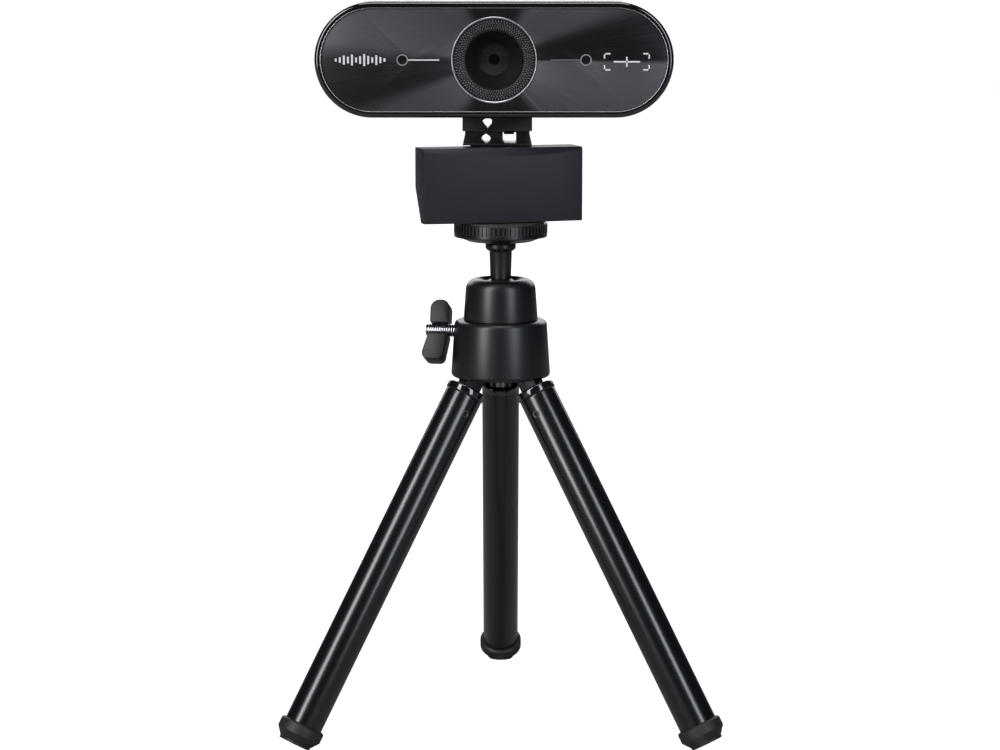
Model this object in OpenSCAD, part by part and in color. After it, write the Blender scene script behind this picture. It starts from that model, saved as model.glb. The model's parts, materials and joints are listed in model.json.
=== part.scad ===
// Webcam with a folding monitor clip, on a small three-legged tripod with a ball head.
// Millimetres. The origin is on the ground, under the middle of the whole object. +Z is up, and the
// webcam looks along -Y.

/* [Webcam body] */
// Width of the webcam body
cam_w = 103; // [92:1:112]
// Height of the webcam body, which is also the diameter of its round ends
cam_h = 33; // [31:0.2:36]
// Depth of the webcam body, front to back
cam_d = 27; // [24:0.5:32]
// Wall of the front and rear shells
cam_wall = 1.8; // [1.4:0.1:2.2]
// Distance from the middle of the face to each microphone
mic_x = 26.3; // [22:0.1:32]

/* [Lens] */
// Outer radius of the bright ring around the lens
ring_r = 12.35; // [11:0.1:13.5]
// Radius of the recessed cone's mouth
cone_r = 8.2; // [7.5:0.1:9]
// Radius of the lens window at the bottom of the cone
window_r = 4.6; // [4.2:0.05:5]
// Travel of the focusing lens
focus_travel = 0.4; // [0.2:0.05:0.5]

/* [Neck] */
// Height of the tilt axis over the top of the clip
tilt_rise = 4.5; // [4.4:0.05:4.8]
// Half width of the yoke under the webcam
neck_half = 10.1; // [9.8:0.1:11]
// Radius of the hinge ears around the tilt pin
ear_r = 3.4; // [3.2:0.05:3.5]
// Radius of the tilt pin
pin_r = 0.75; // [0.7:0.05:0.9]

/* [Clip] */
// Turn of the clip about the camera screw, seen from above
clip_turn = 15.5; // [0:0.5:20]
// Width of the clip's front lip
lip_w = 47.4; // [44:0.2:52]
// Height of the clip
clip_h = 21.5; // [21.2:0.1:22.4]
// Bulge of the lip's front face
lip_bulge = 1.2; // [0.6:0.1:1.6]

/* [Ball head] */
// Radius of the ball
ball_r = 6.5; // [6.2:0.1:6.6]
// Radius of the ball cap at its foot
cap_r = 10.9; // [10.4:0.1:11.2]
// Height of the ball cap
cap_h = 12.2; // [12:0.1:12.6]
// Radius of the head's housing at its lower edge
collar_r = 14.6; // [14.4:0.1:15]
// Height of the head's housing
collar_h = 16.7; // [16.5:0.1:17.4]
// Radius of the lock wheel
wheel_r = 13.7; // [13:0.1:14.5]
// Turn of the clamp screw, back from straight left
clamp_turn = 12; // [0:1:15]
// Turn of the wing about the clamp screw
wing_turn = 25; // [0:5:45]

/* [Legs] */
// Angle between a leg and the upright
leg_spread = 30.1; // [26:0.1:31]
// Length of a leg from its pivot to its sole
leg_len = 120.6; // [95:0.1:130]
// Radius of a leg's tube
tube_r = 5.55; // [5.2:0.05:5.6]
// Radius of a foot
foot_r = 6.6; // [6.2:0.05:6.8]
// Distance from the tripod's axis to a leg's pivot
pivot_r = 8.1; // [8:0.05:8.3]

/* [Hidden] */
$fn = 96;
SIDES = ["back", "left", "right"];
LEG_TURN = [0, 120, 240];
LEG_PARTS = ["leg_lug", "leg_ring", "leg_tube", "leg_rivet", "leg_foot"];

// Fits and gaps
run = 0.05;
gap = 0.3;

// Feet: the sole is a little sunk, so that each foot stands on a small flat
sole_r = 4.2;
foot_h = 6.1;
foot_lip = 3.1;
foot_flat = 0.35;
sole_z = sole_r * sin(leg_spread) - foot_flat;
pivot_z = leg_len * cos(leg_spread) + sole_z;
foot_rise = foot_h - foot_lip;

// The whole object's middle lies behind the front legs, so the tripod's axis lies in front of it
reach = pivot_r + (leg_len - foot_rise) * sin(leg_spread);
back_edge = reach + foot_r * cos(leg_spread);
front_edge = reach / 2 + foot_r * sqrt(1 - pow(sin(leg_spread) / 2, 2));
axis_y = -(back_edge - front_edge) / 2;

// Heights of the stack, from the legs up
collar_z = pivot_z - 2.6;
cap_z = collar_z + collar_h;
ball_z = cap_z + 6.3;
clamp_z = collar_z + 13;
flange_z = ball_z + 14.1;
wheel_z = flange_z + 4.1;
clip_z = wheel_z + 4.7;
arm_z = clip_z + 17.4;
clip_top = clip_z + clip_h;
tilt_z = clip_top + tilt_rise;
cam_z = tilt_z + 20.7;

// Legs
lug_half = 2.4;
leg_pin_r = 1.4;
ring_drop = 6.2;
leg_ring_r = 5.8;
leg_ring_h = 2.3;
tube_bore = tube_r - 0.8;
rivet_drop = ring_drop + leg_ring_h + 5.4;

// Ball head
collar_top_r = 13.5;
cap_top_r = cap_r - 0.9;
cap_round = 3.2;
skirt_r = 12.9;
skirt_h = 8.4;
seat_r = 7;
seat_foot_r = 4.5;
seat_foot_z = clamp_z - 2.6;
hub_r = 4.4;
clamp_r = 2;
thread_r = 3.175;
stem_r = 3.3;
flange_r = 4.45;

// Clip, in a frame turned about the camera screw
lip_x = -0.9;
lip_front = -6.8;
lip_back = 4;
lip_foot = -2.6;
lip_bend = 10;
lip_wall = 1.4;
bay_half = 13.2;
leg_half = 12.4;
arm_half = 15;
arm_top = clip_top - 1.8;
boss_r = 8;
plate_z = clip_z + 11.9;
plate_top = clip_z + 16.9;
hinge_y = 22;
hinge_z = arm_z - 0.8;
hinge_r = 3.2;
hinge_pin_r = 1.2;
knuckle_half = 7;
pan_x = 0.5;
pan_y = 5.5;
pan_r = 4;

// Neck, in a frame at the middle of the tilt axis
neck_x = pan_x * cos(clip_turn) - pan_y * sin(clip_turn);
neck_y = pan_x * sin(clip_turn) + pan_y * cos(clip_turn);
cam_x = -0.9;
neck_deep = 6.5;
base_half = 9.4;
knuckle_x = 1.6;
ear_x = 5.2;

// Webcam, in a frame at the middle of its front face
end_r = cam_h / 2;
straight = (cam_w - cam_h) / 2;
split_y = 10;
front_round = 1.2;
back_round = 5;
panel_back = 2.2;
panel_y = 0.5;
panel_r = end_r - cam_wall - run;
mic_hole_r = 1.65;
lens_y = 0.2;
grip_y = 1.6;
window_y = 5.2;
barrel_y = window_y + 1.8 + focus_travel;
board_y = 15;
gland_r = 3.2;
gland_z = -7.9;

// ---------- frames ----------

// Puts a part that is drawn about the tripod's axis in its place.
module on_axis() {
    translate([0, axis_y, 0]) children();
}

// A leg's own frame: the pivot is at the origin, and the leg runs down along -Z.
module on_leg(turn) {
    on_axis() rotate(turn) translate([0, pivot_r, pivot_z]) rotate([leg_spread, 0, 0]) children();
}

// The clip's frame: the camera screw is the Z axis, and the heights are true.
module on_clip() {
    on_axis() rotate(clip_turn) children();
}

// The clamp screw's frame: it runs out along +Z, away from the head.
module on_clamp() {
    on_axis() translate([0, 0, clamp_z]) rotate(180 - clamp_turn) rotate([0, 90, 0]) children();
}

module on_neck() {
    on_axis() translate([neck_x, neck_y, tilt_z]) children();
}

// The webcam's frame: Y is the depth behind the front of the rim, and Z is up from the middle.
module on_cam() {
    on_axis() translate([neck_x + cam_x, neck_y - cam_d / 2, cam_z]) children();
}

// ---------- shared shapes ----------

// A cylinder along the webcam's depth, from one depth to another.
module depth_rod(y0, y1, r0, r1) {
    translate([0, y0, 0]) rotate([-90, 0, 0]) cylinder(h = y1 - y0, r1 = r0, r2 = r1);
}

// A cylinder along X, centred on the origin.
module cross_rod(r, half) {
    rotate([0, 90, 0]) cylinder(h = 2 * half, r = r, center = true);
}

// A flat stadium plate of radius r between two depths.
module pill_plate(r, y0, y1) {
    for (s = [-1, 1]) translate([s * straight, 0, 0]) depth_rod(y0, y1, r, r);
    translate([-straight, y0, -r]) cube([2 * straight, y1 - y0, 2 * r]);
}

// Half of a rounded section: radius across, depth up, with its front and back edges rounded.
module pill_section(r, y0, y1, front, back) {
    translate([0, y0]) square([r - front, y1 - y0 - back]);
    translate([0, y0]) square([r - back, y1 - y0]);
    translate([0, y0 + front]) square([r, y1 - y0 - front - back]);
    if (front > 0) translate([r - front, y0 + front]) circle(front);
    if (back > 0) translate([r - back, y1 - back]) circle(back);
}

// A stadium body with rounded front and back edges.
module pill(r, y0, y1, front, back) {
    for (s = [-1, 1]) translate([s * straight, 0, 0]) rotate([-90, s > 0 ? -90 : 90, 0])
        rotate_extrude(angle = 180) pill_section(r, y0, y1, front, back);
    for (m = [0, 1]) mirror([0, 0, m]) rotate([90, 0, 90])
        linear_extrude(2 * straight, center = true) intersection() {
            rotate(90) mirror([0, 1]) pill_section(r, y0, y1, front, back);
            translate([-1, 0]) square([cam_d + 2, r + 1]);
        }
}

// A revolved ring about the tripod's axis, from [radius, height] points.
module turned(points) {
    rotate_extrude() polygon(points);
}

// ---------- tripod head ----------

module housing_collar() {
    core_z = collar_z + skirt_h;
    color("#1c1c20") on_axis() difference() {
        rotate_extrude() {
            polygon([[0, collar_z + 1.2], [collar_r, collar_z + 1.2],
                [collar_top_r, cap_z - 1.5], [0, cap_z - 1.5]]);
            translate([0, collar_z]) square([collar_r - 1.2, 2]);
            translate([0, cap_z - 2]) square([collar_top_r - 1.5, 2]);
            translate([collar_r - 1.2, collar_z + 1.2]) circle(1.2);
            translate([collar_top_r - 1.5, cap_z - 1.5]) circle(1.5);
        }
        translate([0, 0, collar_z - 1]) cylinder(h = skirt_h + 1, r = skirt_r);
        translate([0, 0, core_z + 1.2]) cylinder(h = collar_h, r = seat_r);
        translate([0, 0, core_z - 1]) cylinder(h = 3, r = 1.25);
        translate([0, 0, clamp_z]) rotate(180 - clamp_turn) rotate([0, 90, 0])
            cylinder(h = 20, r = clamp_r + run);
    }
}

module ball_cap() {
    mouth_z = ball_z + sqrt(ball_r * ball_r - 25);
    shoulder_z = cap_z + cap_h - cap_round;
    color("#17171a") on_axis() difference() {
        rotate_extrude() {
            polygon([[0, cap_z], [cap_r, cap_z], [cap_top_r, shoulder_z], [0, shoulder_z]]);
            translate([0, cap_z + 2]) square([cap_top_r - cap_round, cap_h - 2]);
            translate([cap_top_r - cap_round, shoulder_z]) circle(cap_round);
        }
        translate([0, 0, ball_z]) sphere(ball_r + run);
        translate([0, 0, cap_z - 1]) cylinder(h = ball_z - cap_z + 1, r = seat_r + gap);
        translate([0, 0, mouth_z - 0.01]) cylinder(h = cap_h, r1 = 5, r2 = 5 + 1.5 * cap_h / 1.75);
    }
}

// The hub that carries the three leg pivots, under the housing's core.
module spider_hub() {
    color("#202024") on_axis() difference() {
        union() {
            translate([0, 0, collar_z - 1]) cylinder(h = skirt_h + 1, r = hub_r);
            for (a = LEG_TURN) rotate(a) for (s = [-1, 1])
                translate([s * 4.1 - 1.2, 2, pivot_z - 2]) cube([2.4, 9.4, 4]);
        }
        translate([0, 0, collar_z - 2]) cylinder(h = 20, r = 1.6);
        for (a = LEG_TURN) rotate(a) translate([0, pivot_r, pivot_z]) cross_rod(leg_pin_r, 8);
        for (a = LEG_TURN) rotate(a) translate([0, pivot_r, pivot_z]) cross_rod(4.6, lug_half + gap);
    }
}

module leg_pivot_pins() {
    color("#b8b8bc") on_axis() for (a = LEG_TURN) rotate(a)
        translate([0, pivot_r, pivot_z]) cross_rod(leg_pin_r, 5.2);
}

module base_screw() {
    color("#b8b8bc") on_axis() {
        translate([0, 0, collar_z - 3]) cylinder(h = 2, r = 3);
        translate([0, 0, collar_z - 2]) cylinder(h = skirt_h + 2, r = 1.6);
        translate([0, 0, collar_z + skirt_h - 0.5]) cylinder(h = 1.5, r = 1.25);
    }
}

// ---------- legs ----------

module leg_lug(turn) {
    color("#202024") on_leg(turn) difference() {
        union() {
            cross_rod(3, lug_half);
            translate([-lug_half, -3, -ring_drop - 0.5]) cube([2 * lug_half, 5.4, ring_drop + 0.5]);
            translate([0, 0, -rivet_drop - 4])
                cylinder(h = rivet_drop + 4 - ring_drop - leg_ring_h, r = tube_bore);
            translate([0, 0, -ring_drop - leg_ring_h]) cylinder(h = leg_ring_h, r = 3.6);
        }
        cross_rod(leg_pin_r + run, 4);
        translate([0, 0, -rivet_drop]) cross_rod(1.1, 7);
    }
}

module leg_ring(turn) {
    color("#2a2a2e") on_leg(turn) translate([0, 0, -ring_drop - leg_ring_h]) rotate_extrude() difference() {
        union() {
            square([leg_ring_r, leg_ring_h - 0.6]);
            square([leg_ring_r - 0.6, leg_ring_h]);
            translate([leg_ring_r - 0.6, leg_ring_h - 0.6]) circle(0.6);
        }
        translate([-1, -1]) square([4.6, 5]);
    }
}

module leg_tube(turn) {
    color("#0c0c0e") on_leg(turn) difference() {
        translate([0, 0, -leg_len + foot_h])
            cylinder(h = leg_len - foot_h - ring_drop - leg_ring_h, r = tube_r);
        translate([0, 0, -leg_len]) cylinder(h = leg_len, r = tube_bore);
        translate([0, 0, -rivet_drop]) cross_rod(1.1, 7);
    }
}

// A rivet through the tube and the lug, with a shallow dimple in each head.
module leg_rivet(turn) {
    color("#303034") on_leg(turn) translate([0, 0, -rivet_drop]) difference() {
        cross_rod(1.1, tube_r + 0.15);
        for (s = [-1, 1]) translate([s * (tube_r + 0.9), 0, 0]) sphere(1.1);
    }
}

module leg_foot(turn) {
    color("#161616") intersection() {
        on_leg(turn) translate([0, 0, -leg_len]) {
            rotate_extrude() {
                polygon([[0, 0], [sole_r, 0], [foot_r, foot_rise], [foot_r, foot_h - 0.5],
                    [foot_r - 0.5, foot_h], [0, foot_h]]);
            }
            cylinder(h = foot_h + 6, r = tube_bore);
        }
        translate([-200, -200, 0]) cube([400, 400, 200]);
    }
}

// ---------- clamp screw ----------

module clamp_screw() {
    color("#d0d0d4") on_clamp() {
        translate([0, 0, seat_foot_r + gap]) cylinder(h = 17.3, r = clamp_r);
        translate([0, 0, seat_foot_r + 17]) cylinder(h = 1.3, r = clamp_r - 0.4);
    }
}

// One lobe of the wing in the plane of the clamp screw: out along X, away from the head along Y.
function wing_lobe(out, near, far, lean) = [
    [2, near], [out - 1.5, near + lean], [out - 0.4, near + lean + 1.2],
    [out, near + lean + 2.6], [out - 0.2, far + lean - 1.4], [out - 1.2, far + lean - 0.3],
    [out - 2.4, far + lean], [2, far]];

// The lower lobe leans outwards. A slot in the front shows the screw's thread between the lobes.
module wing_knob() {
    lower = wing_lobe(9.8, 14.8, 20.8, 2.6);
    upper = wing_lobe(8.6, 14.8, 20.4, 0.2);
    color("#1a1a1c") on_clamp() rotate(wing_turn) difference() {
        rotate([90, 0, 0]) linear_extrude(5.6, center = true)
            polygon(concat(lower, [for (i = [len(upper) - 1:-1:0]) [-upper[i][0], upper[i][1]]]));
        translate([0, 0, 5]) cylinder(h = 25, r = clamp_r);
        translate([-0.9, 0, 5]) cube([1.8, 10, 25]);
    }
}

// ---------- ball and stem ----------

module ball_seat() {
    seat_low = clamp_z + clamp_r + gap;
    color("#e4e4e0") on_axis() difference() {
        union() {
            translate([0, 0, seat_foot_z]) cylinder(h = 6, r = seat_foot_r);
            translate([0, 0, seat_low]) cylinder(h = ball_z - seat_low - 1, r = seat_r - run);
        }
        translate([0, 0, ball_z]) sphere(ball_r + run);
    }
}

module ball_stem() {
    color("#141417") on_axis() {
        translate([0, 0, ball_z]) sphere(ball_r);
        translate([0, 0, ball_z + 4]) cylinder(h = flange_z - ball_z - 4, r1 = stem_r - 0.25, r2 = stem_r);
        translate([0, 0, flange_z]) cylinder(h = 0.7, r1 = flange_r - 0.65, r2 = flange_r);
        translate([0, 0, flange_z + 0.7]) cylinder(h = 1.3, r = flange_r);
    }
}

module camera_screw() {
    color("#c4c4c8") on_axis() translate([0, 0, flange_z + 2]) {
        cylinder(h = clip_z - flange_z + 4.5, r = thread_r);
        translate([0, 0, clip_z - flange_z + 4.5]) cylinder(h = 0.7, r1 = thread_r, r2 = thread_r - 0.7);
    }
}

module knurled_wheel() {
    color("#1a1a1c") on_axis() difference() {
        rotate_extrude() {
            polygon([[0, flange_z + 2.3], [flange_r + 0.15, flange_z + 2.3], [9.4, wheel_z - 1.3],
                [12.6, wheel_z], [wheel_r, wheel_z], [wheel_r, clip_z - 0.8], [0, clip_z - 0.8]]);
        }
        translate([0, 0, flange_z]) cylinder(h = 20, r = thread_r + run);
    }
}

module wheel_pad() {
    color("#101012") on_axis() difference() {
        translate([0, 0, clip_z - 0.8]) cylinder(h = 0.5, r = wheel_r - 1);
        translate([0, 0, clip_z - 2]) cylinder(h = 4, r = 5);
    }
}

// ---------- clip ----------

// The folded jaw under the arm: a plate to the hinge, and a block that holds the threaded insert.
module clip_leg() {
    color("#1d1f24") on_clip() difference() {
        union() {
            translate([-leg_half, -5.6, clip_z]) cube([2 * leg_half, 11.6, plate_top - clip_z]);
            translate([-leg_half, -5.6, plate_z])
                cube([2 * leg_half, hinge_y - 3.7 + 5.6, plate_top - plate_z]);
            for (s = [-1, 1]) translate([s * (leg_half + knuckle_half + gap) / 2, hinge_y, hinge_z])
                cross_rod(hinge_r, (leg_half - knuckle_half - gap) / 2);
            for (s = [-1, 1]) translate([s > 0 ? knuckle_half + gap : -leg_half, hinge_y - 4.5, plate_z])
                cube([leg_half - knuckle_half - gap, 4.5, hinge_z - plate_z - 1]);
        }
        translate([0, 0, clip_z - 1]) cylinder(h = 12.5, r = 4);
        translate([0, hinge_y, hinge_z]) cross_rod(hinge_pin_r, 14);
    }
}

module thread_insert() {
    color("#c9a24a") on_clip() difference() {
        translate([0, 0, clip_z]) cylinder(h = 7, r = 4);
        translate([0, 0, clip_z - 1]) cylinder(h = 9, r = thread_r + run);
    }
}

module clip_hinge_pin() {
    color("#b8b8bc") on_clip() translate([0, hinge_y, hinge_z]) cross_rod(hinge_pin_r, leg_half);
}

// Side profile of the lip: depth across, height up.
module lip_profile(front, back, foot, low, top) {
    polygon([[front, low], [front, top - 2.4], [front + 1.9, top], [back, top], [back, clip_z + lip_bend],
        [foot, low]]);
}

module lip_block(half, wall) {
    low = wall > 0 ? clip_z - 1 : clip_z;
    rotate([90, 0, 90]) linear_extrude(2 * half, center = true)
        lip_profile(lip_front - lip_bulge + wall, lip_back - wall, lip_foot - wall, low, clip_top - wall);
}

// The front lip is bowed: a large cylinder about a vertical axis trims its front face.
module lip_bow(shrink) {
    bow_r = (lip_w * lip_w / 4 + lip_bulge * lip_bulge) / (2 * lip_bulge);
    translate([lip_x, lip_front - lip_bulge + bow_r + shrink, clip_z - 10])
        cylinder(h = 60, r = bow_r, $fn = 256);
}

module clip_arm() {
    color("#2b2e35") on_clip() difference() {
        union() {
            intersection() {
                translate([lip_x, 0, 0]) lip_block(lip_w / 2, 0);
                lip_bow(0);
            }
            translate([-arm_half, 0, arm_z]) cube([2 * arm_half, hinge_y - 3.5, arm_top - arm_z]);
            translate([pan_x, pan_y, arm_z]) cylinder(h = clip_top - arm_z, r = boss_r);
            translate([0, hinge_y, hinge_z]) cross_rod(hinge_r, knuckle_half);
            translate([-knuckle_half, hinge_y - 4.5, arm_z])
                cube([2 * knuckle_half, 4.5, hinge_z + hinge_r - arm_z]);
        }
        for (s = [-1, 1]) intersection() {
            translate([s * (lip_w / 4 + bay_half / 2) + lip_x, 0, 0])
                lip_block(lip_w / 4 - bay_half / 2 - lip_wall, lip_wall);
            lip_bow(lip_wall);
        }
        translate([-bay_half, lip_front - lip_bulge + lip_wall, clip_z - 1])
            cube([2 * bay_half, 40, arm_z - clip_z + 1]);
        translate([0, hinge_y, hinge_z]) cross_rod(hinge_pin_r + run, 14);
        translate([pan_x, pan_y, arm_z - 1]) cylinder(h = 10, r = pan_r + run);
        translate([pan_x, pan_y, arm_z - 1]) cylinder(h = 3, r = 5.6);
    }
}

// Two soft pads on the sloping back of the lip.
module lip_pads() {
    lean = atan2(lip_back - lip_foot, lip_bend);
    color("#0e0e10") on_clip() for (s = [-1, 1])
        translate([lip_x + s * 18.7, lip_foot, clip_z]) rotate([-lean, 0, 0])
            translate([-3.6, 0, 1.5]) cube([7.2, 0.8, 8.5]);
}

// ---------- neck ----------

// The outline of the turning base: two ears and a middle knuckle, with a window on each side of it.
module base_front() {
    low = -tilt_rise + gap;
    difference() {
        polygon([[-neck_half, low], [-base_half, -1], [-base_half, ear_r], [-ear_x, ear_r], [-ear_x, -0.2],
            [-knuckle_x, -0.2], [-knuckle_x, ear_r], [knuckle_x, ear_r], [knuckle_x, -2.9], [2.3, -3.5],
            [ear_x, -3.6], [ear_x + 0.3, -3.2], [ear_x + 0.3, -0.8], [ear_x, ear_r],
            [base_half, ear_r], [base_half, -1], [neck_half, low]]);
        polygon([[-3.3, -0.9], [-2.3, -1.6], [-1.8, -2.4], [-2.3, -3.2], [-3.1, -3.65], [-3.9, -3.3],
            [-4.7, -2.5], [-4.3, -1.6]]);
    }
}

module neck_base() {
    low = -tilt_rise + gap;
    color("#131316") on_neck() difference() {
        union() {
            intersection() {
                rotate([90, 0, 0]) linear_extrude(2 * neck_deep + 2, center = true) base_front();
                union() {
                    cross_rod(ear_r, neck_half + 1);
                    translate([-neck_half, -neck_deep + 0.6, low])
                        cube([2 * neck_half, 2 * neck_deep - 1.2, 0.7]);
                    translate([-neck_half, -ear_r, low]) cube([2 * neck_half, 2 * ear_r, -low]);
                }
            }
            translate([0, 0, arm_z - tilt_z + 1.7]) cylinder(h = low - arm_z + tilt_z - 1.6, r = pan_r);
        }
        cross_rod(pin_r, neck_half + 1);
        translate([0, 0, -12]) cylinder(h = 11, r = 1.1);
    }
}

module pan_screw() {
    color("#b8b8bc") on_neck() {
        translate([0, 0, arm_z - tilt_z + 0.9]) cylinder(h = 0.8, r = 5.2);
        translate([0, 0, arm_z - tilt_z + 0.2]) cylinder(h = 0.9, r = 2.2);
        translate([0, 0, arm_z - tilt_z + 0.5]) cylinder(h = 5.4, r = 1.1);
    }
}

module tilt_pin() {
    color("#d0d0d4") on_neck() cross_rod(pin_r, base_half);
}

// The yoke under the webcam: a hood over the ears, one knuckle on the pin, and a small window.
module neck_yoke() {
    top = cam_z - tilt_z - end_r;
    arm_w = ear_x - knuckle_x - 2 * gap;
    color("#131316") on_neck() difference() {
        union() {
            difference() {
                translate([-neck_half, -neck_deep, 0]) cube([2 * neck_half, 2 * neck_deep, top]);
                cross_rod(ear_r + gap, neck_half + 1);
                rotate([90, 0, 0]) linear_extrude(40, center = true)
                    polygon([[-2.8, 0.4], [-1.8, 1.4], [-1.2, 2.3], [-1.3, 3.1], [-2, 3.6], [-3.5, 3.6],
                        [-4.2, 3.1], [-4.3, 2.3], [-3.8, 1.4]]);
            }
            translate([(knuckle_x + ear_x) / 2, 0, 0]) cross_rod(1.3, arm_w / 2);
            translate([knuckle_x + gap, -1.3, 0]) cube([arm_w, 2.6, top]);
        }
        cross_rod(pin_r + run, neck_half + 1);
    }
}

// ---------- webcam ----------

module front_shell() {
    color("#0a0a0c") on_cam() difference() {
        pill(end_r, 0, split_y, front_round, 0);
        pill_plate(end_r - cam_wall, -1, split_y + 1);
    }
}

module rear_shell() {
    color("#141416") on_cam() difference() {
        pill(end_r, split_y, cam_d, 0, back_round);
        pill_plate(end_r - cam_wall, split_y - 1, cam_d - back_round - 0.5);
        pill_plate(end_r - cam_wall - 2.6, split_y - 1, cam_d - 2.2);
        translate([0, 0, gland_z]) depth_rod(cam_d - 4, cam_d + 1, gland_r, gland_r);
        for (s = [-1, 1]) translate([s * (straight + 8), 0, 0]) depth_rod(cam_d - 3, cam_d + 1, 1.2, 1.2);
        for (s = [-1, 1]) translate([s * (straight + 8), 0, 0]) depth_rod(cam_d - 1.2, cam_d + 1, 2.3, 2.3);
    }
}

module face_panel() {
    color("#2e2e32") on_cam() difference() {
        pill_plate(panel_r, panel_y, panel_y + panel_back);
        depth_rod(-1, 6, ring_r, ring_r);
        for (s = [-1, 1]) translate([s * mic_x, 0, 0]) depth_rod(-1, 6, mic_hole_r, mic_hole_r);
    }
}

module lens_ring() {
    color("#e8e8ec") on_cam() rotate([-90, 0, 0]) rotate_extrude() difference() {
        union() {
            translate([ring_r - 0.9, lens_y + 0.3]) square([0.9, 3]);
            translate([ring_r - 0.5, lens_y + 0.3]) circle(0.4);
        }
        translate([0, 3.2]) square([ring_r - 0.6, 3]);
    }
}

module lens_grip_ring() {
    color("#1b1b1e") on_cam() rotate([-90, 0, 0]) turned([
        [cone_r, lens_y + 0.5], [ring_r - 1.4, lens_y + 0.5],
        [ring_r - 1, grip_y - 0.6], [ring_r - 0.95, 3.2], [cone_r, 3.2]]);
}

module lens_cone() {
    color("#060607") on_cam() rotate([-90, 0, 0]) turned([
        [cone_r, lens_y + 0.7], [cone_r, 3.2], [ring_r - 1, 3.2], [ring_r - 1, 7.2], [5.4, 7.2],
        [5.4, window_y + 0.9], [window_r, window_y + 0.9], [window_r, window_y],
        [cone_r - 0.6, lens_y + 0.7]]);
}

module lens_window() {
    color("#24262c") on_cam() depth_rod(window_y + 0.1, window_y + 0.9, window_r, window_r);
}

module lens_holder() {
    color("#2c2c30") on_cam() difference() {
        translate([-5.6, 7.2, -5.6]) cube([11.2, board_y - 7.2, 11.2]);
        depth_rod(6, board_y - 2, 3.6 + run, 3.6 + run);
        translate([-3.4, board_y - 2.5, -3.4]) cube([6.8, 3, 6.8]);
    }
}

module lens_barrel() {
    color("#0c0c0e") on_cam() difference() {
        depth_rod(barrel_y, board_y - 2.8, 3.6, 3.6);
        depth_rod(barrel_y - 1, barrel_y + 1, 2.6, 2.6);
        depth_rod(barrel_y, board_y, 1.7, 1.7);
    }
}

module front_lens() {
    color("#30405a") on_cam() depth_rod(barrel_y + 0.2, barrel_y + 1, 2.6, 2.6);
}

module image_sensor() {
    color("#3a3f4a") on_cam() translate([-3.1, board_y - 1, -3.1]) cube([6.2, 1, 6.2]);
}

module circuit_board() {
    color("#1d5c33") on_cam() translate([-straight - 4, board_y, -9]) cube([2 * straight + 8, 1.2, 18]);
}

module microphones() {
    color("#c8c8c8") on_cam() for (s = [-1, 1]) translate([s * mic_x, 0, 0])
        depth_rod(panel_y + panel_back, panel_y + panel_back + 1.8, 3, 3);
}

module status_lights() {
    color("#f0f0f0") on_cam() for (s = [-1, 1]) translate([s * mic_x, 0, 0]) difference() {
        depth_rod(panel_y - 0.1, panel_y + panel_back, mic_hole_r, mic_hole_r);
        depth_rod(panel_y - 1, panel_y + 1.2, mic_hole_r - 0.4, mic_hole_r - 0.4);
    }
}

module cable_gland() {
    color("#101012") on_cam() translate([0, 0, gland_z]) difference() {
        union() {
            depth_rod(cam_d - 4, cam_d, gland_r, gland_r);
            depth_rod(cam_d - 4, cam_d - 2.2, gland_r + 1, gland_r + 1);
        }
        depth_rod(cam_d - 5, cam_d + 1, 1.9, 1.9);
    }
}

module shell_screws() {
    color("#90909a") on_cam() for (s = [-1, 1]) translate([s * (straight + 8), 0, 0]) difference() {
        union() {
            depth_rod(cam_d - 1.2, cam_d - 0.1, 2.3, 2.3);
            depth_rod(cam_d - 9, cam_d - 1.2, 1.2, 1.2);
        }
        for (a = [0, 90]) rotate([0, a, 0]) translate([-1.3, cam_d - 0.7, -0.25]) cube([2.6, 2, 0.5]);
    }
}

// ---------- the assembly ----------

housing_collar();
ball_cap();
spider_hub();
leg_pivot_pins();
base_screw();
for (i = [0:2]) leg_lug(LEG_TURN[i]);
for (i = [0:2]) leg_ring(LEG_TURN[i]);
for (i = [0:2]) leg_tube(LEG_TURN[i]);
for (i = [0:2]) leg_rivet(LEG_TURN[i]);
for (i = [0:2]) leg_foot(LEG_TURN[i]);
clamp_screw();
wing_knob();
ball_seat();
ball_stem();
camera_screw();
knurled_wheel();
wheel_pad();
clip_leg();
thread_insert();
clip_hinge_pin();
clip_arm();
lip_pads();
neck_base();
pan_screw();
tilt_pin();
neck_yoke();
front_shell();
rear_shell();
face_panel();
lens_ring();
lens_grip_ring();
lens_cone();
lens_window();
lens_holder();
image_sensor();
circuit_board();
microphones();
status_lights();
cable_gland();
shell_screws();
lens_barrel();
front_lens();
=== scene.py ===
"""The looks of a webcam on a small tripod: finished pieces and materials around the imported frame.

Lengths in the piece functions are millimetres in a local frame; a frame's matrix turns them to metres.
"""
import json
import math

import bmesh
import bpy
from mathutils import Matrix, Vector


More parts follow.
